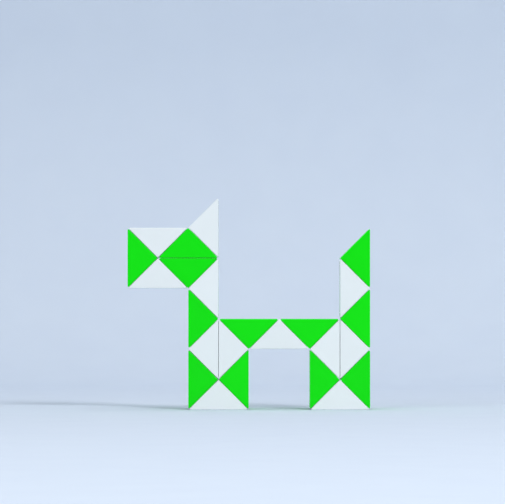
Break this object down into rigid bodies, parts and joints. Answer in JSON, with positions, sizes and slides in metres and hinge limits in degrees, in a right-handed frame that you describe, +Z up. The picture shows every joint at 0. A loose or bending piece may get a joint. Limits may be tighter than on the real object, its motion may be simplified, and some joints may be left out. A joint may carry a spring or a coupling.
{
  "type": "snake twist puzzle",
  "caption": "Folding snake puzzle: a row of hinged triangular wedges in two alternating colours, folded into a standing dog.",
  "frame": {"origin": "centre of the bottom of the figure's bounding box, on the surface that its two soles stand on", "axes": "+Z up, +X from the dog's nose to its tail, +Y away from the viewer of its left side"},
  "size_m": [0.1242, 0.022, 0.108],
  "materials": {
    "green": "gloss",
    "white": "gloss",
    "steel": "zinc plated"
  },
  "bodies": {
    "wedge_01": {"shell_01": "white", "cover_01": "white", "pivots_01": "steel"},
    "wedge_02": {"shell_02": "green", "cover_02": "green"},
    "wedge_03": {"shell_03": "white", "cover_03": "white", "pivots_03": "steel"},
    "wedge_04": {"shell_04": "green", "cover_04": "green"},
    "wedge_05": {"shell_05": "white", "cover_05": "white", "pivots_05": "steel"},
    "wedge_06": {"shell_06": "green", "cover_06": "green"},
    "wedge_07": {"shell_07": "white", "cover_07": "white", "pivots_07": "steel"},
    "wedge_08": {"shell_08": "green", "cover_08": "green"},
    "wedge_09": {"shell_09": "white", "cover_09": "white", "pivots_09": "steel"},
    "wedge_10": {"shell_10": "green", "cover_10": "green"},
    "wedge_11": {"shell_11": "white", "cover_11": "white", "pivots_11": "steel"},
    "wedge_12": {"shell_12": "green", "cover_12": "green"},
    "wedge_13": {"shell_13": "white", "cover_13": "white", "pivots_13": "steel"},
    "wedge_14": {"shell_14": "green", "cover_14": "green"},
    "wedge_15": {"shell_15": "white", "cover_15": "white", "pivots_15": "steel"},
    "wedge_16": {"shell_16": "green", "cover_16": "green"},
    "wedge_17": {"shell_17": "white", "cover_17": "white", "pivots_17": "steel"},
    "wedge_18": {"shell_18": "green", "cover_18": "green"},
    "wedge_19": {"shell_19": "white", "cover_19": "white", "pivots_19": "steel"},
    "wedge_20": {"shell_20": "green", "cover_20": "green"},
    "wedge_21": {"shell_21": "white", "cover_21": "white", "pivots_21": "steel"},
    "wedge_22": {"shell_22": "green", "cover_22": "green"},
    "wedge_23": {"shell_23": "white", "cover_23": "white", "pivots_23": "steel"},
    "wedge_24": {"shell_24": "green", "cover_24": "green"}
  },
  "joints": [
    {"name": "turn_01_02", "type": "hinge", "parent": "wedge_02", "child": "wedge_01", "pos_m": [-0.02333, 0, 0.08546], "axis": [0.7071, 0, 0.7071], "continuous": true},
    {"name": "turn_02_03", "type": "hinge", "parent": "wedge_03", "child": "wedge_02", "pos_m": [-0.03889, 0, 0.08546], "axis": [0.7071, 0, -0.7071], "range_deg": [-1.1, 1.1]},
    {"name": "turn_03_04", "type": "hinge", "parent": "wedge_04", "child": "wedge_03", "pos_m": [-0.05445, 0, 0.08546], "axis": [0.7071, 0, 0.7071], "range_deg": [-1.1, 1.1]},
    {"name": "turn_04_05", "type": "hinge", "parent": "wedge_05", "child": "wedge_04", "pos_m": [-0.05445, 0, 0.0699], "axis": [-0.7071, 0, 0.7071], "range_deg": [-1.1, 1.1]},
    {"name": "turn_05_06", "type": "hinge", "parent": "wedge_06", "child": "wedge_05", "pos_m": [-0.03889, 0, 0.0699], "axis": [-0.7071, 0, -0.7071], "range_deg": [-1.1, 1.1]},
    {"name": "turn_06_07", "type": "hinge", "parent": "wedge_07", "child": "wedge_06", "pos_m": [-0.02333, 0, 0.0699], "axis": [-0.7071, 0, 0.7071], "continuous": true},
    {"name": "turn_07_08", "type": "hinge", "parent": "wedge_08", "child": "wedge_07", "pos_m": [-0.02333, 0, 0.05435], "axis": [0.7071, 0, 0.7071], "range_deg": [-8.5, 3.5]},
    {"name": "turn_08_09", "type": "hinge", "parent": "wedge_09", "child": "wedge_08", "pos_m": [-0.02333, 0, 0.03879], "axis": [-0.7071, 0, 0.7071], "continuous": true},
    {"name": "turn_09_10", "type": "hinge", "parent": "wedge_10", "child": "wedge_09", "pos_m": [-0.02333, 0, 0.02323], "axis": [0.7071, 0, 0.7071], "range_deg": [-1.1, 1.1]},
    {"name": "turn_10_11", "type": "hinge", "parent": "wedge_11", "child": "wedge_10", "pos_m": [-0.02333, 0, 0.00768], "axis": [-0.7071, 0, 0.7071], "range_deg": [-1.1, 1.1]},
    {"name": "turn_11_12", "type": "hinge", "parent": "wedge_12", "child": "wedge_11", "pos_m": [-0.00778, 0, 0.00768], "axis": [-0.7071, 0, -0.7071], "range_deg": [-1.1, 1.1]},
    {"name": "turn_12_13", "type": "hinge", "parent": "wedge_13", "child": "wedge_12", "pos_m": [-0.00778, 0, 0.02323], "axis": [0.7071, 0, -0.7071], "range_deg": [-1.1, 1.1]},
    {"name": "turn_13_14", "type": "hinge", "parent": "wedge_14", "child": "wedge_13", "pos_m": [-0.00778, 0, 0.03879], "axis": [-0.7071, 0, -0.7071], "range_deg": [-8.5, 8.5]},
    {"name": "turn_14_15", "type": "hinge", "parent": "wedge_15", "child": "wedge_14", "pos_m": [0.00778, 0, 0.03879], "axis": [-0.7071, 0, 0.7071], "range_deg": [-8.5, 8.5]},
    {"name": "turn_15_16", "type": "hinge", "parent": "wedge_15", "child": "wedge_16", "pos_m": [0.02333, 0, 0.03879], "axis": [0.7071, 0, 0.7071], "range_deg": [-8.5, 8.5]},
    {"name": "turn_16_17", "type": "hinge", "parent": "wedge_16", "child": "wedge_17", "pos_m": [0.03889, 0, 0.03879], "axis": [0.7071, 0, -0.7071], "range_deg": [-8.5, 8.5]},
    {"name": "turn_17_18", "type": "hinge", "parent": "wedge_17", "child": "wedge_18", "pos_m": [0.03889, 0, 0.02323], "axis": [-0.7071, 0, -0.7071], "range_deg": [-1.1, 1.1]},
    {"name": "turn_18_19", "type": "hinge", "parent": "wedge_18", "child": "wedge_19", "pos_m": [0.03889, 0, 0.00768], "axis": [0.7071, 0, -0.7071], "range_deg": [-1.1, 1.1]},
    {"name": "turn_19_20", "type": "hinge", "parent": "wedge_19", "child": "wedge_20", "pos_m": [0.05445, 0, 0.00768], "axis": [0.7071, 0, 0.7071], "range_deg": [-1.1, 1.1]},
    {"name": "turn_20_21", "type": "hinge", "parent": "wedge_20", "child": "wedge_21", "pos_m": [0.05445, 0, 0.02323], "axis": [-0.7071, 0, 0.7071], "range_deg": [-1.1, 1.1]},
    {"name": "turn_21_22", "type": "hinge", "parent": "wedge_21", "child": "wedge_22", "pos_m": [0.05445, 0, 0.03879], "axis": [0.7071, 0, 0.7071], "continuous": true},
    {"name": "turn_22_23", "type": "hinge", "parent": "wedge_22", "child": "wedge_23", "pos_m": [0.05445, 0, 0.05435], "axis": [-0.7071, 0, 0.7071], "range_deg": [-8.5, 8.5]},
    {"name": "turn_23_24", "type": "hinge", "parent": "wedge_23", "child": "wedge_24", "pos_m": [0.05445, 0, 0.0699], "axis": [0.7071, 0, 0.7071], "continuous": true}
  ]
}
